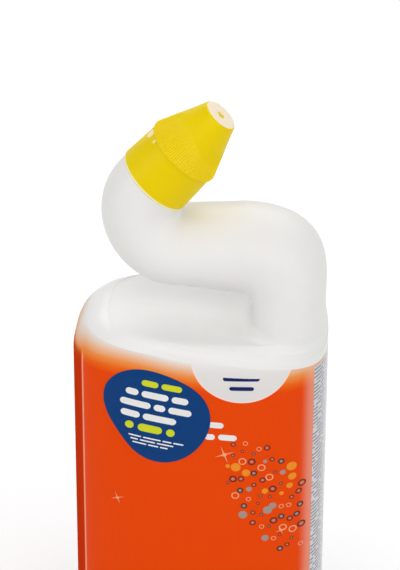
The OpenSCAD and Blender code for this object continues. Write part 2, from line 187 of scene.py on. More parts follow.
def bend2_row(t):
    out = BEND2_R + mix(TUBE_END_H, 2 * COLLAR_R, smooth(t)) + BEND2_FILL * sin(180 * t)
    turn = -90 - (180 - NECK_ANGLE) * t
    return [
        BEND2_X + out * cos(turn), BEND2_Z + out * sin(turn),
        BEND2_X + BEND2_R * cos(turn), BEND2_Z + BEND2_R * sin(turn),
        mix(TUBE_END_D / 2, COLLAR_R, smooth(t)), NECK_N,
    ]


def along(row, height):
    """A row moved along the mouth's axis."""
    dx, dz = height * cos(NECK_ANGLE), height * sin(NECK_ANGLE)
    return [row[0] + dx, row[1] + dz, row[2] + dx, row[3] + dz, row[4], row[5]]


def relax(rows, first, times):
    """Depth and fullness drawn towards the mean of the neighbouring rows, again and again."""
    rows = np.array(rows, float)
    for _ in range(times):
        rows[first:-2, 4:] = rows[first:-2, 4:] / 2 + (rows[first - 1:-3, 4:] + rows[first + 1:-1, 4:]) / 4
    return rows


def ring_points(rows):
    """Every row's ring, as an array of rows by sides by three."""
    turn = np.radians(360 * np.arange(SIDES) / SIDES)
    r = np.asarray(rows)[:, :, None]
    p = spow(np.cos(turn), 2 / r[:, 5])
    q = spow(np.sin(turn), 2 / r[:, 5])
    share = (1 + p) / 2
    return np.stack([mix(r[:, 0], r[:, 2], share), r[:, 4] * q, mix(r[:, 1], r[:, 3], share)], -1)


def moved_out(rings, distance):
    """Rings moved along the surface's own normals."""
    up = np.gradient(rings, axis=0)
    around = np.roll(rings, -1, 1) - np.roll(rings, 1, 1)
    normal = np.cross(around, up)
    normal /= np.linalg.norm(normal, axis=2, keepdims=True)
    return rings + normal * np.asarray(distance)[..., None]


BASE = base_rows()
WALL_START = len(BASE)
WALL_ROWS, SHOULDER_ROWS = 5 * FINE, 6 * FINE
SHELL_ROWS = BASE + stretch(wall_row, 5) + stretch(shoulder_row, 6) + stretch(slope_row, 7)
SHELL_ROWS += stretch(fillet_row, 5) + stretch(column_row, 1)
SHELL_ROWS += stretch(bend1_row, 9) + stretch(tube_row, 4) + stretch(bend2_row, 11)
COLLAR = along(bend2_row(1), COLLAR_T)
SHELL_ROWS += [along(bend2_row(1), COLLAR_T - 0.2), COLLAR]
SHELL_ROWS = relax(SHELL_ROWS, WALL_START + WALL_ROWS, 3 * FINE ** 2)
MOUTH = Vector(((COLLAR[0] + COLLAR[2]) / 2, 0, (COLLAR[1] + COLLAR[3]) / 2))
MOUTH_AXES = np.array(Matrix.Rotation(math.radians(90 - NECK_ANGLE), 3, "Y"))


def at_mouth(points):
    """Points of the mouth's own frame, whose +Z runs out of the bottle."""
    return np.asarray(points, float) @ MOUTH_AXES.T + np.array(MOUTH)


def turned(profile, sides=128, start=0.0):
    """A profile of (radius, height) turned about the mouth's axis."""
    turn = np.radians(start + 360 * np.arange(sides) / sides)
    r, z = np.array(profile, float).T
    points = np.stack([r[:, None] * np.cos(turn), r[:, None] * np.sin(turn), z[:, None] + 0 * turn], -1)
    return at_mouth(points)


class Shape:
    """Grids and fans of points, gathered into one mesh."""

    def __init__(self):
        self.points, self.faces, self.slots = [], [], []
        self.count = 0

    def add(self, points, faces, slot):
        self.points.append(np.asarray(points, float).reshape(-1, 3))
        self.faces += [[self.count + k for k in face] for face in faces]
        self.slots += list(slot) if hasattr(slot, "__len__") else [slot] * len(faces)
        self.count += len(self.points[-1])

    def grid(self, rings, slot=0, loop=False, closed=True):
        """Quads over rows of points; loop joins the last row to the first, closed each row to itself."""
        rows, sides = rings.shape[:2]
        i = np.arange(rows if loop else rows - 1)[:, None]
        j = np.arange(sides if closed else sides - 1)[None, :]
        low, high, right = i * sides, (i + 1) % rows * sides, (j + 1) % sides
        quads = np.stack([low + j, low + right, high + right, high + j], -1)
        self.add(rings, quads.reshape(-1, 4).tolist(), slot)

    def fan(self, ring, slot=0, flip=False):
        """Triangles from the middle of a ring to its edge."""
        n = len(ring)
        faces = [[n, j, (j + 1) % n] for j in range(n)]
        if flip:
            faces = [face[::-1] for face in faces]
        self.add(np.vstack([ring, np.mean(ring, axis=0)]), faces, slot)

    def build(self, name, body, materials, sharp=38):
        mesh = bpy.data.meshes.new(name)
        mesh.from_pydata((np.vstack(self.points) * MM).tolist(), [], self.faces)
        mesh.polygons.foreach_set("material_index", self.slots)
        for material in materials:
            mesh.materials.append(material)
        mesh.shade_smooth()
        mesh.set_sharp_from_angle(angle=math.radians(sharp))
        mesh.update()
        piece = bpy.data.objects.new(name, mesh)
        bpy.context.scene.collection.objects.link(piece)
        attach(piece, body)
        return piece


# Materials

def srgb(red, green, blue):
    """A colour as a screen shows it, 0 to 255, in the shader's linear values."""
    def linear(c):
        c /= 255
        return c / 12.92 if c <= 0.04045 else ((c + 0.055) / 1.055) ** 2.4
    return linear(red), linear(green), linear(blue), 1.0


class Paint:
    """A Principled material and short names for the nodes that drive it."""

    def __init__(self, name, **sockets):
        self.material = bpy.data.materials.new(name)
        self.material.use_nodes = True
        self.tree = self.material.node_tree
        self.shader = self.tree.nodes["Principled BSDF"]
        for socket, value in sockets.items():
            self.shader.inputs[socket.replace("_", " ")].default_value = value
        self.position = self.node("ShaderNodeTexCoord").outputs["Object"]
        split = self.node("ShaderNodeSeparateXYZ", Vector=self.position)
        self.x, self.y, self.z = split.outputs

    def node(self, kind, **inputs):
        node = self.tree.nodes.new(kind)
        for name, value in inputs.items():
            self.feed(node.inputs[name.replace("_", " ")], value)
        return node

    def feed(self, socket, value):
        if isinstance(value, bpy.types.NodeSocket):
            self.tree.links.new(value, socket)
        else:
            socket.default_value = value

    def math(self, operation, a, b=0.0):
        node = self.tree.nodes.new("ShaderNodeMath")
        node.operation = operation
        self.feed(node.inputs[0], a)
        self.feed(node.inputs[1], b)
        return node.outputs[0]

    def step(self, value, low, high):
        """0 below low and 1 above high, with a soft edge; low above high turns it round."""
        node = self.node("ShaderNodeMapRange", Value=value, From_Min=low, From_Max=high)
        node.interpolation_type = "SMOOTHSTEP"
        return node.outputs["Result"]

    def blend(self, factor, first, second):
        node = self.tree.nodes.new("ShaderNodeMix")
        node.data_type = "RGBA"
        self.feed(node.inputs["Factor"], factor)
        self.feed(node.inputs[6], first)
        self.feed(node.inputs[7], second)
        return node.outputs[2]

    def stretched(self, x=1.0, y=1.0, z=1.0):
        return self.node("ShaderNodeMapping", Vector=self.position, Scale=(x, y, z)).outputs[0]

    def noise(self, scale, detail=2.0, vector=None):
        place = vector or self.position
        return self.node("ShaderNodeTexNoise", Vector=place, Scale=scale, Detail=detail).outputs[0]

    def ramp(self, factor, stops):
        node = self.tree.nodes.new("ShaderNodeValToRGB")
        self.feed(node.inputs[0], factor)
        elements = node.color_ramp.elements
        while len(elements) < len(stops):
            elements.new(0.5)
        for element, (place, colour) in zip(elements, stops):
            element.position = place
            element.color = colour
        return node.outputs["Color"]

    def bump(self, height, distance, strength=1.0):
        node = self.node("ShaderNodeBump", Height=height, Distance=distance, Strength=strength)
        self.feed(self.shader.inputs["Normal"], node.outputs["Normal"])

    def finish(self, colour=None, roughness=None):
        if colour is not None:
            self.feed(self.shader.inputs["Base Color"], colour)
        if roughness is not None:
            self.feed(self.shader.inputs["Roughness"], roughness)
        return self.material


def speckled(paint, light, dark, scale):
    """A moulded plastic's colour, cloudy by a shade or two."""
    return paint.blend(paint.noise(scale, 3.0), dark, light)


def varied(paint, low, high, scale):
    node = paint.node("ShaderNodeMapRange", Value=paint.noise(scale, 3.0), To_Min=low, To_Max=high)
    return node.outputs["Result"]


def shell_paint():
    """Blown polyethylene: satin, faintly uneven, with a raised parting line in the middle plane."""
    paint = Paint("blown_white", Subsurface_Weight=0.12, Subsurface_Scale=0.0015, Specular_IOR_Level=0.2)
    colour = speckled(paint, srgb(239, 238, 236), srgb(234, 233, 231), 35)
    parting = paint.step(paint.math("ABSOLUTE", paint.y), 0.00045, 0.0001)
    skin = paint.math("MULTIPLY", paint.noise(1400, 3.0), 0.10)
    waves = paint.math("MULTIPLY", paint.noise(70, 1.0), 0.5)
    height = paint.math("ADD", paint.math("ADD", skin, waves), paint.math("MULTIPLY", parting, 0.1))
    paint.bump(height, 0.0004)
    return paint.finish(colour, varied(paint, 0.33, 0.45, 260))


def cap_paint(name, light, dark, rough):
    """Moulded polypropylene."""
    paint = Paint(name, Subsurface_Weight=0.08, Subsurface_Scale=0.001, Specular_IOR_Level=0.1)
    paint.bump(paint.noise(2600, 3.0), 0.00004)
    return paint.finish(speckled(paint, light, dark, 90), varied(paint, rough, rough + 0.1, 400))


def film_paint(name, shine):
    """Printed shrink film: a white top that fades into red-orange, a white half-round, and a grey
    panel of text-like rows on the right side and the back."""
    paint = Paint(name, Specular_IOR_Level=shine)
    white = srgb(238, 237, 235)
    front = paint.step(paint.y, 0.001, -0.001)
    # The fade starts higher on the left, where the shoulder does
    dip = paint.math("TANH", paint.math("MULTIPLY", paint.math("ADD", paint.x, 0.0135), 80))
    top = paint.math("SUBTRACT", 0.1660, paint.math("MULTIPLY", dip, 0.0026))
    top = paint.math("SUBTRACT", top, paint.math("MULTIPLY", paint.step(paint.x, -0.0420, -0.0490), 0.0030))
    depth = paint.math("DIVIDE", paint.math("SUBTRACT", top, paint.z), 0.0115)
    orange = paint.ramp(depth, [
        (0.0, white), (0.08, srgb(233, 222, 212)), (0.28, srgb(238, 186, 150)), (0.5, srgb(240, 146, 72)),
        (0.75, srgb(240, 104, 22)), (1.0, srgb(237, 72, 0)),
    ])
    threads = paint.noise(1.0, 2.0, paint.stretched(2600, 2600, 90))
    shade = paint.node(
        "ShaderNodeMapRange", Value=threads, From_Min=0.3, From_Max=0.7, To_Min=0.98, To_Max=1.02,
    ).outputs["Result"]
    tint = paint.node("ShaderNodeHueSaturation", Color=orange, Value=shade).outputs[0]
    # Painted highlight: a paler band runs down the right front corner
    painted_corner_highlight = paint.math("MULTIPLY", paint.step(paint.math("ABSOLUTE", paint.x), 0.0405, 0.0452), 0.42)
    right = paint.step(paint.x, 0.0, 0.001)
    tint = paint.blend(paint.math("MULTIPLY", painted_corner_highlight, right), tint, srgb(240, 205, 180))
    # On the left a pale crease line is a painted highlight, and the print behind it is painted darker red as
    # shade
    painted_marks_height_mask = paint.step(paint.z, 0.1625, 0.1590)
    painted_side_shade = paint.math("MULTIPLY", paint.step(paint.x, -0.0441, -0.0447), painted_marks_height_mask)
    tint = paint.blend(paint.math("MULTIPLY", painted_side_shade, 0.8), tint, srgb(196, 50, 18))
    off = paint.math("ABSOLUTE", paint.math("ADD", paint.x, 0.0439))
    painted_crease_highlight = paint.math("MULTIPLY", paint.step(off, 0.0005, 0.0001), painted_marks_height_mask)
    tint = paint.blend(paint.math("MULTIPLY", painted_crease_highlight, 0.8), tint, srgb(255, 172, 148))
    # Half-round field
    dx = paint.math("SUBTRACT", paint.x, 0.0181)
    dz = paint.math("SUBTRACT", paint.z, 0.1676)
    reach = paint.math("SQRT", paint.math("ADD", paint.math("POWER", dx, 2), paint.math("POWER", dz, 2)))
    half_round = paint.math("MULTIPLY", paint.step(reach, 0.0199, 0.0197), front)
    field = paint.blend(paint.step(paint.z, 0.1660, 0.1590), white, srgb(228, 225, 222))
    field = paint.blend(paint.step(reach, 0.0190, 0.0194), field, srgb(248, 226, 218))
    colour = paint.blend(half_round, tint, field)
    # Wave along the foot
    wave = paint.math("MULTIPLY", paint.math("SINE", paint.math("MULTIPLY", paint.x, 70)), 0.006)
    crest = paint.math("SUBTRACT", paint.z, wave)
    colour = paint.blend(paint.step(crest, 0.0382, 0.0380), colour, srgb(244, 200, 30))
    colour = paint.blend(paint.step(crest, 0.0362, 0.0360), colour, srgb(22, 62, 120))
    # Panel on the right side and over most of the back
    side = paint.step(paint.x, 0.0452, 0.0454)
    back = paint.math("MULTIPLY", paint.step(paint.x, -0.0302, -0.0300), paint.step(paint.y, -0.001, 0.001))
    tall = paint.math("MULTIPLY", paint.step(paint.z, 0.1588, 0.1586), paint.step(paint.z, 0.0458, 0.0460))
    panel = paint.math("MULTIPLY", paint.math("MAXIMUM", side, back), tall)
    height = paint.math("MULTIPLY", paint.z, 620)
    line, number = paint.math("FRACT", height), paint.math("FLOOR", height)
    around = paint.math("MULTIPLY", paint.math("SUBTRACT", paint.x, paint.y), 420)
    run = paint.math("ADD", around, paint.math("MULTIPLY", number, 7.3))
    words = paint.node("ShaderNodeCombineXYZ", X=run, Y=number).outputs[0]
    word = paint.step(paint.noise(1.0, 1.0, words), 0.40, 0.44)
    inside = paint.math("MULTIPLY", paint.step(line, 0.22, 0.30), paint.step(line, 0.80, 0.72))
    ink = paint.math("MULTIPLY", word, inside)
    page = paint.blend(paint.math("MULTIPLY", ink, 0.75), srgb(216, 216, 220), srgb(120, 122, 132))
    colour = paint.blend(panel, colour, page)
    ripples = paint.math("MULTIPLY", paint.noise(1.0, 2.0, paint.stretched(240, 240, 60)), 0.6)
    paint.bump(paint.math("ADD", ripples, paint.math("MULTIPLY", paint.noise(900, 2.0), 0.08)), 0.00006)
    return paint.finish(colour, varied(paint, 0.16, 0.26, 120))


def clear_paint():
    """The film's bare, glossy margin over the white shell."""
    paint = Paint("film_margin", Specular_IOR_Level=0.2)
    paint.bump(paint.noise(1.0, 2.0, paint.stretched(300, 300, 500)), 0.00006)
    colour = speckled(paint, srgb(240, 239, 238), srgb(236, 235, 234), 60)
    return paint.finish(colour, varied(paint, 0.16, 0.28, 150))


def ink_paint(name, colour, rough=0.3):
    """Printed ink with a faint grain."""
    paint = Paint(name, Specular_IOR_Level=0.1)
    dark = tuple(c * 0.9 for c in colour[:3]) + (1.0,)
    paint.bump(paint.noise(1500, 2.0), 0.00002)
    return paint.finish(speckled(paint, colour, dark, 500), varied(paint, rough, rough + 0.08, 300))


def sticker_paint():
    paint = Paint("sticker_navy", Specular_IOR_Level=0.1)
    grain = paint.math("MULTIPLY", paint.noise(1800, 2.0), 0.06)
    paint.bump(paint.math("ADD", paint.noise(120, 1.0), grain), 0.00012)
    colour = speckled(paint, srgb(4, 64, 126), srgb(0, 56, 116), 220)
    return paint.finish(colour, varied(paint, 0.24, 0.34, 160))


def foam_paint():
    paint = Paint("seal_foam")
    paint.bump(paint.noise(2200, 4.0), 0.00015)
    colour = speckled(paint, srgb(226, 226, 222), srgb(206, 206, 202), 900)
    return paint.finish(colour, varied(paint, 0.7, 0.9, 500))


def gel_paint():
    paint = Paint("cleaner_gel", Transmission_Weight=0.6, IOR=1.34)
    paint.bump(paint.noise(60, 1.0), 0.0002)
    colour = speckled(paint, srgb(150, 205, 225), srgb(120, 185, 215), 50)
    return paint.finish(colour, varied(paint, 0.05, 0.12, 80))


WHITE_SHELL = shell_paint()
FILMS = [film_paint("printed_film", 0.06), clear_paint(), film_paint("printed_film_side", 0.0)]
CAP_YELLOW = cap_paint("cap_yellow", srgb(240, 212, 0), srgb(235, 204, 0), 0.34)
# Painted highlight: a pale line along the cap's rim and on its pointer
CAP_RIM_HIGHLIGHT = cap_paint("cap_rim_highlight", srgb(255, 246, 190), srgb(252, 240, 170), 0.3)
# Painted highlight: paler crests on the cap's ribs
CAP_CREST_HIGHLIGHT = cap_paint("cap_crest_highlight", srgb(246, 221, 58), srgb(242, 214, 40), 0.3)
# Painted highlight: the tip's flat face is made pale cream
CAP_TIP_HIGHLIGHT = cap_paint("cap_tip_highlight", srgb(255, 241, 216), srgb(251, 233, 204), 0.3)
# Painted highlight: the thinned windows in the skirt are made pale cream
CAP_WINDOW_HIGHLIGHT = cap_paint("cap_window_highlight", srgb(255, 240, 188), srgb(252, 234, 172), 0.3)
NOZZLE_WHITE = cap_paint("nozzle_white", srgb(240, 240, 232), srgb(232, 232, 224), 0.3)
STICKER = sticker_paint()
INKS = {
    "white": ink_paint("ink_white", srgb(242, 242, 240)),
    "lime": ink_paint("ink_lime", srgb(214, 222, 40)),
    "navy": ink_paint("ink_navy", srgb(24, 34, 100)),
    "amber": ink_paint("ink_amber", srgb(246, 150, 40)),
    "grey": ink_paint("ink_grey", srgb(172, 150, 140)),
    "umber": ink_paint("ink_umber", srgb(92, 52, 42)),
    "peach": ink_paint("ink_peach", srgb(246, 176, 130)),
}
INK_NAMES = list(INKS)


# Pieces

def thread(shape, root, crest, z0):
    """Ridge of a right-hand thread that fades in and out at its ends."""
    steps = 144
    rows = []
    for i in range(steps + 1):
        turn, z = 360 * TURNS * i / steps, z0 + LEAD * TURNS * i / steps
        top = mix(root, crest, smooth(min(1, i / 14, (steps - i) / 14)))
        flank = mix(root, top, 0.85)
        section = [(root, -0.75), (flank, -0.42), (top, -0.2), (top, 0.2), (flank, 0.42), (root, 0.75)]
        rows.append([(r * cos(turn), r * sin(turn), z + dz) for r, dz in section])
    shape.grid(at_mouth(rows)[:, ::(1 if crest < root else -1)], closed=False)


def lugs(shape, r0, r1, z0, z1):
    """Two rounded blocks on opposite sides of the axis."""
    for middle in (180 - WINDOW_TURN, -WINDOW_TURN):
        rows = []
        for k in range(25):
            share = 2 * k / 24 - 1
            turn = middle + LUG_SPAN / 2 * share
            full = (1 - abs(share) ** 8) ** 0.5
            out = mix(r0, r1, full)
            rows.append([(r * cos(turn), r * sin(turn), z) for r, z in
                         [(r0, z0), (out, z0), (out, z1 - 0.3), (out - 0.3 * full, z1), (r0, z1)]])
        shape.grid(at_mouth(rows)[::-1], closed=False)


def make_shell():
    shape = Shape()
    rings = ring_points(SHELL_ROWS)
    rings[-1] = mix(np.mean(rings[-1], axis=0), rings[-1], 0.985)
    shape.grid(rings)
    shape.fan(rings[0], flip=True)
    collar = (COLLAR_R * 0.985, 0)
    lip = [(FINISH_R, FINISH_H - 0.5), (FINISH_R - 0.15, FINISH_H - 0.15), (FINISH_R - 0.5, FINISH_H)]
    bore = [(BORE_R + 0.2, FINISH_H), (BORE_R, FINISH_H - 0.3), (BORE_R, -2)]
    shape.grid(turned([collar, (FINISH_R + 0.4, 0), (FINISH_R, 0.4)] + lip + bore, SIDES, 0))
    thread(shape, FINISH_R, FINISH_R + THREAD_H, FINISH_H - 2.4 - LEAD * TURNS)
    lugs(shape, FINISH_R - 0.3, LUG_R, -0.2, LUG_H)
    shell = shape.build("bottle_shell", "bottle_body", [WHITE_SHELL])
    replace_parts(shell, "bottle")


def make_sleeve():
    """Film on the wall and over the shoulder's edge, a little loose and rippled along its rim."""
    last = WALL_START + WALL_ROWS + round(SHOULDER_ROWS * FILM_SHARE)
    rows = np.vstack([[level(0, FILM_LOW)], SHELL_ROWS[WALL_START:last]])
    rings = ring_points(rows)
    below = np.linalg.norm(rings - rings[-1], axis=2)
    turn = np.radians(360 * np.arange(SIDES) / SIDES)
    loose = np.clip(1 - below / 9, 0, 1) ** 0.7
    slack = 0.5 + 0.3 * np.sin(3 * turn + 1) + 0.2 * np.sin(7 * turn + 2.2)
    inside = np.clip((47.5 - np.abs(rings[..., 0])) / 6, 0, 1)
    ripple = loose * slack * inside * (0.1 + 0.1 * np.sin(below * 1.9 + 2 * np.sin(2 * turn)))
    shape = Shape()
    thick = FILM_T * np.clip(below / 3, 0.3, 1)
    outer, inner = moved_out(rings, SKIN_GAP + thick + ripple), moved_out(rings, SKIN_GAP + ripple)
    # Slots: 0 the print, 1 the bare margin at the top, 2 the print on the left side
    slots = np.where(rings[..., 0] < FILM_SIDE_X, 2, 0)
    slots[below.mean(axis=1) < FILM_BARE] = 1
    slots = np.concatenate([slots, slots[::-1]])
    shape.grid(np.concatenate([outer, inner[::-1]]), slot=slots.reshape(-1), loop=True)
    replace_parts(shape.build("film_sleeve", "bottle_body", FILMS), "shrink_sleeve")


def wall_point(x, z, out):
    """The film's wall on the front, and over the shoulder's rounding, as far out as asked."""
    depth = HALF_D * (1 - np.abs(x / HALF_W) ** BODY_N) ** (1 / BODY_N)
    power = BODY_N - 1
    normal = np.stack([spow(x / HALF_W, power) / HALF_W, -((depth / HALF_D) ** power) / HALF_D], -1)
    normal /= np.linalg.norm(normal, axis=-1, keepdims=True)
    across = (x + HALF_W) / BODY_W
    low, high = mix(LEFT_H, WALL_H, across), mix(CREST[1], CREST[3], across)
    up = np.clip((z - low) / (high - low), 0, 1)
    drawn = 1 - FRONT_IN / HALF_D * (1 - np.cos(np.pi / 2 * up))
    return np.stack([x + normal[..., 0] * out, normal[..., 1] * out - depth * drawn, z], -1)


def pebble(turn):
    """Radius of the sticker's rounded outline, by its angle."""
    return STICKER_D / 2 * (1 + 0.09 * np.cos(2 * (turn + 0.777)) + 0.054 * np.cos(3 * (turn - 0.412)))


def make_sticker():
    turn = np.linspace(0, 2 * np.pi, 120, endpoint=False)
    low = FILM_OUT + 2 * SKIN_GAP
    shares = np.append(np.linspace(0.04, 0.97, 16), [0.99, 1.0])
    outs = np.append(np.full(17, low + STICKER_T - 0.03), low + STICKER_T * 0.5)
    x = STICKER_X + shares[:, None] * pebble(turn) * np.cos(turn)
    z = STICKER_Z + shares[:, None] * pebble(turn) * np.sin(turn)
    face = wall_point(x, z, outs[:, None])
    rim = wall_point(x[-1:], z[-1:], low - 0.08)
    shape = Shape()
    shape.grid(np.concatenate([face, rim])[::-1])
    shape.fan(face[0])
    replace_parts(shape.build("sticker", "bottle_body", [STICKER]), "promo_sticker")


def bar(shape, x, z, length, height, ink, out, tilt=0.0):
    """A printed bar with round ends, which follows the wall. x and z are its left end's middle."""
    half = height / 2
    end = half * (1 - np.cos(np.linspace(0.2, np.pi / 2, 5)))
    run = np.concatenate([end, np.arange(half + 1.2, length - half, 1.2), length - end[::-1]])
    ends = np.clip(np.maximum(half - run, run - (length - half)) / half, 0, 1)
    tall = half * np.sqrt(1 - ends ** 2)
    side = np.array([-1, 0, 1])[:, None] * tall
    rows = wall_point(x + run * cos(tilt) - side * sin(tilt), z + run * sin(tilt) + side * cos(tilt), out)
    shape.grid(rows, slot=INK_NAMES.index(ink), closed=False)


def spot(shape, x, z, radius, ink, out, hole=0.0):
    """A printed disc, or a ring where it has a hole."""
    turn = np.linspace(0, 2 * np.pi, 28, endpoint=False)
    shares = np.array([hole, 1.0] if hole else [0.02, 0.5, 1.0])[:, None]
    rows = wall_point(x + radius * shares * np.cos(turn), z + radius * shares * np.sin(turn), out)
    shape.grid(rows[::-1], slot=INK_NAMES.index(ink))


def star(shape, x, z, reach, ink, out):
    """A four-pointed sparkle."""
    turn = np.arange(8) * np.pi / 4 + 0.35
    radius = np.where(np.arange(8) % 2 == 0, reach, reach * 0.1)
    ring = wall_point(x + radius * np.cos(turn), z + radius * np.sin(turn), out)
    shape.fan(ring, INK_NAMES.index(ink))
    spot(shape, x, z, reach * 0.2, ink, out + 0.01)


def make_prints():
    """Motifs on the film: bubbles that rise from the foot, sparkles and bars."""
    out = FILM_OUT + 0.04
    shape = Shape()
    bubbles = 74
    for i in range(bubbles):
        turn, away = i * 137.5, 3.1 * math.sqrt(i)
        x = 29.5 + 0.62 * away * cos(turn) - 0.22 * away * sin(turn)
        z = 104.5 + 1.0 * away * sin(turn) - 0.25 * away * cos(turn)
        if x > 42 or x < -4:
            continue
        radius = 0.7 + 0.28 * (i * 5 % 4)
        if i % 3 == 0:
            spot(shape, x, z, radius, "umber", out, hole=0.62)
            spot(shape, x, z, radius * 0.34, "grey", out)
        elif i % 7 == 1:
            spot(shape, x, z, radius * 1.25, "amber", out)
        elif i % 5 == 2:
            spot(shape, x, z, radius * 1.15, "grey", out)
        elif i % 2 == 0:
            spot(shape, x, z, radius, "umber", out)
            spot(shape, x, z, radius * 0.5, "grey", out + 0.01)
        else:
            spot(shape, x, z, radius, "peach", out, hole=0.72)
    for x, z, reach in ((11.8, 124, 4.2), (-30, 100, 3), (34, 88, 2.6)):
        star(shape, x, z, reach, "peach", out)
    for x, z, length in ((5.5, 137.5, 6), (4, 132, 4.2), (9.4, 132, 7.2)):
        bar(shape, x, z, length, 2.6, "white", out, -3)
    for x, z, length in ((11, 158.2, 14), (13.5, 154.2, 9.4)):
        bar(shape, x, z, length, 1.7, "navy", out)
    shape.build("film_prints", "bottle_body", list(INKS.values()))


def make_sticker_prints():
    """Generic bars on the sticker, in rows that slope gently down to the right."""
    out = FILM_OUT + 2 * SKIN_GAP + STICKER_T
    tilt = -9
    shape = Shape()

    def row(start, down, height, ink, words, gap=1.2):
        """Words of the given lengths, one after the other along the slope."""
        run = start
        for length in words:
            x = STICKER_X + run * cos(tilt) + down * sin(tilt)
            z = STICKER_Z + run * sin(tilt) - down * cos(tilt)
            bar(shape, x, z, length, height, ink, out, tilt)
            run += length + gap

    row(-8, -13.6, 2.7, "lime", (6.5, 8))
    row(-13.5, -8.6, 2.9, "white", (5, 10.5, 6.5))
    row(-15, -3.6, 2.9, "white", (12, 4.5, 9))
    row(-14, 1.4, 2.9, "white", (7.5, 13))
    row(-11.5, 6.6, 3.4, "lime", (3.4, 9.5, 3.4), 1.6)
    for k, words in enumerate(((5, 7, 3.5, 4), (3, 6, 6.5), (5.5, 4, 3))):
        row(-9.5 + k, 11 + 1.5 * k, 0.6, "white", words, 0.7)
    shape.build("sticker_prints", "bottle_body", list(INKS.values()))


LEDGE, CAP_TOP = RIM_GAP + SKIRT_H, RIM_GAP + CAP_H


def in_window(z, turn):
    """Where the skirt is thinned: two fields under the ledge, deepest in their middles."""
    off = np.abs((turn - 180 + WINDOW_TURN + 90) % 180 - 90) / WINDOW_SPAN
    top = LEDGE - WINDOW_DROP
    return (off < 1) & (z < top) & (z > top - mix(WINDOW_MID_H, WINDOW_END_H, off))


def in_pointer(z, turn):
    """The small raised pointer beside the left window."""
    off = np.abs(turn - 180 + WINDOW_TURN - POINTER_TURN)
    return (off < POINTER_SPAN) & (z > LEDGE - POINTER_LOW) & (z < LEDGE - WINDOW_DROP)


def cap_radius(z, turn):
    """Radius of the cap's outside: skirt with windows and pointer, ledge, ribbed cone."""
    cone_low, cone_top = LEDGE + LEDGE_T, CAP_TOP - TIP_EDGE
    if z <= LEDGE:
        base = mix(SKIRT_R, SKIRT_TOP_R, (z - RIM_GAP) / SKIRT_H)
        return base - WINDOW_IN * in_window(z, turn) + POINTER_OUT * in_pointer(z, turn)
    base = mix(SKIRT_TOP_R + LEDGE_OUT, TIP_R, max(0, z - cone_low) / (cone_top - cone_low))
    up = (z - cone_low) / (cone_top - cone_low) / RIB_SHARE
    weight = min(1, max(0, (z - LEDGE - 0.15) / 0.5)) * max(0, 1 - max(0, up) ** 2)
    ridge = (0.5 + 0.5 * np.cos(np.radians(RIB_COUNT * turn))) ** 1.3
    return base + RIB_H * weight * (ridge - 0.45)


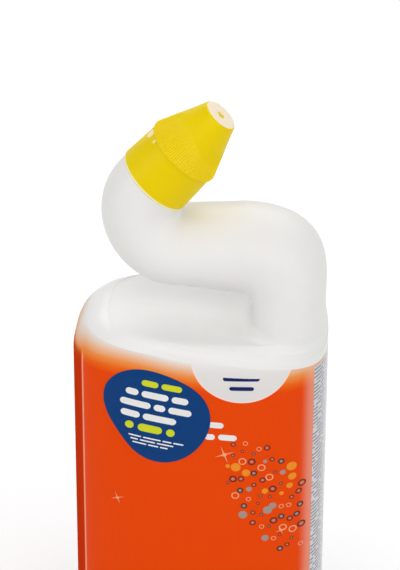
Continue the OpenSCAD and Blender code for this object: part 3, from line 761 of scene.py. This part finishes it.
def make_cap():
    skirt = np.linspace(RIM_GAP + 0.5, LEDGE - 6, 8).tolist()
    fine = np.arange(LEDGE - 5.75, LEDGE - 0.1, 0.2).tolist()
    step = [LEDGE, LEDGE + 0.03, LEDGE + 0.12, LEDGE + 0.25, LEDGE + LEDGE_T]
    cone = np.linspace(LEDGE + LEDGE_T + 0.3, CAP_TOP - TIP_EDGE, 40).tolist()
    sides = RIB_COUNT * 6
    turn = 360 * np.arange(sides) / sides
    heights = skirt + fine + step + cone
    profile = [(cap_radius(z, turn), z) for z in heights]
    rim_in = (SKIRT_R - CAP_T + 0.25, RIM_LOW)
    rim = [rim_in, (SKIRT_R - 0.3, RIM_LOW), (SKIRT_R - 0.08, RIM_LOW + 0.1), (SKIRT_R, RIM_LOW + 0.28)]
    crown = [(TIP_R - TIP_EDGE * u, CAP_TOP - TIP_EDGE * (1 - u)) for u in (0.1, 0.3, 0.5, 0.7, 0.9)]
    face = [(TIP_R - 0.85, CAP_TOP), (3, CAP_TOP), (1.9, CAP_TOP), (1.7, CAP_TOP - 0.05)]
    pit = CAP_TOP - 0.4
    gate = [(1.6, pit + 0.02), (1.2, pit), (0.7, pit), (0.55, pit + 0.25), (0.05, pit + 0.28)]

    def circles(pairs):
        return [(r + 0 * turn, z) for r, z in pairs]

    rows = circles(rim) + profile + circles(crown + face + gate)
    way = np.stack([np.cos(np.radians(turn)), np.sin(np.radians(turn)), 0 * turn], -1)
    points = np.array([way * r[:, None] + (0, 0, z) for r, z in rows])
    # Slots: 0 the yellow, 1 the painted highlight on the thin rim and pointer, 2 the painted highlight on the
    # tip, 3 the painted highlight in the windows, 4 the painted highlight on the ribs' crests
    slots = np.zeros((len(rows) - 1, sides), int)
    slots[:len(rim)] = 1
    z = (points[:-1, :, 2] + points[1:, :, 2]) / 2
    slots[in_pointer(z, turn)] = 1
    slots[in_window(z, turn)] = 3
    crest = np.cos(np.radians(RIB_COUNT * (turn + 180 / sides))) > 0.8
    share = RIB_SHARE * (0.72 + 0.2 * np.sin(np.radians(2 * turn)))
    ribbed = (z > LEDGE + 0.4) & (z < mix(LEDGE, CAP_TOP, share))
    slots[ribbed & crest] = 4
    first = len(rim) + len(profile) + 3
    slots[first:first + 6] = 2
    shape = Shape()
    shape.grid(at_mouth(points), slot=slots.reshape(-1))
    # Inside: skirt, plate, threaded sleeve and the pin that plugs the jet
    bore = FINISH_R + THREAD_H + RUN_GAP
    pin = 1.35
    inside = [
        rim_in, (SKIRT_R - CAP_T, RIM_LOW + 0.25), (SKIRT_TOP_R - CAP_T, PLATE_LOW),
        (bore + 1, PLATE_LOW), (bore + 1, LUG_H + 0.8), (bore + 0.8, LUG_H + 0.6), (bore + 0.2, LUG_H + 0.6),
        (bore, LUG_H + 0.8), (bore, PLATE_LOW), (PLATE_HOLE_R, PLATE_LOW), (PLATE_HOLE_R, PLATE_LOW + CAP_T),
        (SKIRT_TOP_R + LEDGE_OUT - CAP_T, PLATE_LOW + CAP_T), (TIP_R - CAP_T, CAP_TOP - CAP_T),
        (pin, CAP_TOP - CAP_T), (pin, SPOUT_TOP - 1.3), (pin - 0.2, SPOUT_TOP - 1.5), (0.05, SPOUT_TOP - 1.5),
    ]
    shape.grid(turned(inside)[::-1])
    thread(shape, bore, FINISH_R + RUN_GAP, FINISH_H - 2.4 - LEAD * TURNS + LEAD / 2)
    paints = [CAP_YELLOW, CAP_RIM_HIGHLIGHT, CAP_TIP_HIGHLIGHT, CAP_WINDOW_HIGHLIGHT, CAP_CREST_HIGHLIGHT]
    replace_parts(shape.build("cap_body", "cap_body", paints, 30), "cap")


def dress_nodes():
    """New materials for the solids that are kept as they are."""
    for name, material in (("nozzle", NOZZLE_WHITE), ("seal_ring", foam_paint()), ("liquid", gel_paint())):
        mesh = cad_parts[name].data
        mesh.materials.clear()
        mesh.materials.append(material)


# Stage: camera, floor, lights

TARGET = Vector((-0.586, 0, 181)) * MM
AZIMUTH, ELEVATION, ROLL, DISTANCE = 5.126, 30.56, 0.2015, 1.2
SENSOR, FRAME_WIDTH, FOCAL_PIXELS = 36, 400, 3115.3
BLACK, WHITE = (0, 0, 0, 1), (1, 1, 1, 1)
WORLD_GREY, FLOOR_GREY, FLOOR_GLOW = (0.3, 0.3, 0.3, 1), (0.8, 0.8, 0.8, 1), (0.12, 0.12, 0.12, 1)


def make_camera():
    camera = bpy.data.objects.new("camera", bpy.data.cameras.new("camera"))
    camera.data.sensor_fit = "HORIZONTAL"
    camera.data.sensor_width = SENSOR
    camera.data.lens = FOCAL_PIXELS * SENSOR / FRAME_WIDTH
    back = Vector((sin(AZIMUTH) * cos(ELEVATION), -cos(AZIMUTH) * cos(ELEVATION), sin(ELEVATION)))
    right = Vector((cos(AZIMUTH), sin(AZIMUTH), 0))
    up = back.cross(right)
    turned_right = right * cos(ROLL) + up * sin(ROLL)
    turned_up = up * cos(ROLL) - right * sin(ROLL)
    facing = Matrix((turned_right, turned_up, back)).transposed().to_4x4()
    camera.matrix_world = Matrix.Translation(TARGET + back * DISTANCE) @ facing
    bpy.context.scene.collection.objects.link(camera)
    bpy.context.scene.camera = camera


def backdrop_light(tree, plain, seen):
    """A colour that is plain in the light on the object, and as seen where the camera looks at it
    directly, mirrored or through a gel."""
    path = tree.nodes.new("ShaderNodeLightPath")
    total = path.outputs["Is Camera Ray"]
    for name in ("Is Glossy Ray", "Is Transmission Ray"):
        node = tree.nodes.new("ShaderNodeMath")
        node.operation = "MAXIMUM"
        tree.links.new(total, node.inputs[0])
        tree.links.new(path.outputs[name], node.inputs[1])
        total = node.outputs[0]
    blend = tree.nodes.new("ShaderNodeMix")
    blend.data_type = "RGBA"
    blend.inputs[6].default_value = plain
    if isinstance(seen, bpy.types.NodeSocket):
        tree.links.new(seen, blend.inputs[7])
    else:
        blend.inputs[7].default_value = seen
    tree.links.new(total, blend.inputs["Factor"])
    return blend.outputs[2]


def make_world():
    world = bpy.data.worlds.new("studio")
    bpy.context.scene.world = world
    world.use_nodes = True
    background = world.node_tree.nodes["Background"]
    background.inputs["Strength"].default_value = 1.0
    world.node_tree.links.new(backdrop_light(world.node_tree, WORLD_GREY, WHITE), background.inputs["Color"])


def make_floor():
    shape = Shape()
    turn = np.linspace(0, 2 * np.pi, 96, endpoint=False)
    way = np.stack([np.cos(turn), np.sin(turn), 0 * turn], -1)
    rings = [way * r - (0, 0, 0.05) for r in (20, 400, 1500, 4000)]
    shape.grid(np.array(rings[::-1]))
    shape.fan(rings[0])
    # Lit near the bottle, so that its shadow shows, and an even white further out
    paint = Paint("floor_paint", Roughness=0.9, Specular_IOR_Level=0, Emission_Strength=1)
    reach = paint.node("ShaderNodeVectorMath", Vector=paint.position)
    reach.operation = "LENGTH"
    far = paint.step(reach.outputs["Value"], 0.35, 1.0)
    glow = paint.blend(far, FLOOR_GLOW, WHITE)
    paint.feed(paint.shader.inputs["Emission Color"], backdrop_light(paint.tree, BLACK, glow))
    paint.finish(backdrop_light(paint.tree, FLOOR_GREY, paint.blend(far, WHITE, BLACK)))
    mesh = bpy.data.meshes.new("floor")
    mesh.from_pydata((np.vstack(shape.points) * MM).tolist(), [], shape.faces)
    mesh.materials.append(paint.material)
    floor = bpy.data.objects.new("floor", mesh)
    bpy.context.scene.collection.objects.link(floor)


def make_lamp(name, place, aim, size, power):
    """An area lamp at a place in metres, turned towards a point. size is its width and height."""
    data = bpy.data.lights.new(name, "AREA")
    data.shape = "RECTANGLE"
    data.size, data.size_y = size
    data.energy = power
    lamp = bpy.data.objects.new(name, data)
    lamp.location = place
    lamp.rotation_euler = (Vector(place) - Vector(aim)).to_track_quat("Z", "Y").to_euler()
    bpy.context.scene.collection.objects.link(lamp)


def make_lamps():
    for name, place, size, power in (
        ("front", (0.1, -1.45, 1.35), (1.5, 1.2), 9.3),
        ("left", (-1.4, -0.8, 0.9), (0.9, 1.3), 8.4),
        ("right", (1.4, -0.8, 0.9), (0.9, 1.3), 9.0),
        ("top", (0.0, -0.1, 1.8), (1.3, 1.1), 3),
        ("back", (0.0, 1.2, 1.2), (1.8, 0.8), 10.5),
    ):
        make_lamp(name, place, (0, 0, 0.15), size, power)


make_camera()
make_world()
make_floor()
make_lamps()
make_shell()
make_sleeve()
make_sticker()
make_prints()
make_sticker_prints()
make_cap()
dress_nodes()

bpy.context.scene.view_settings.view_transform = "Standard"
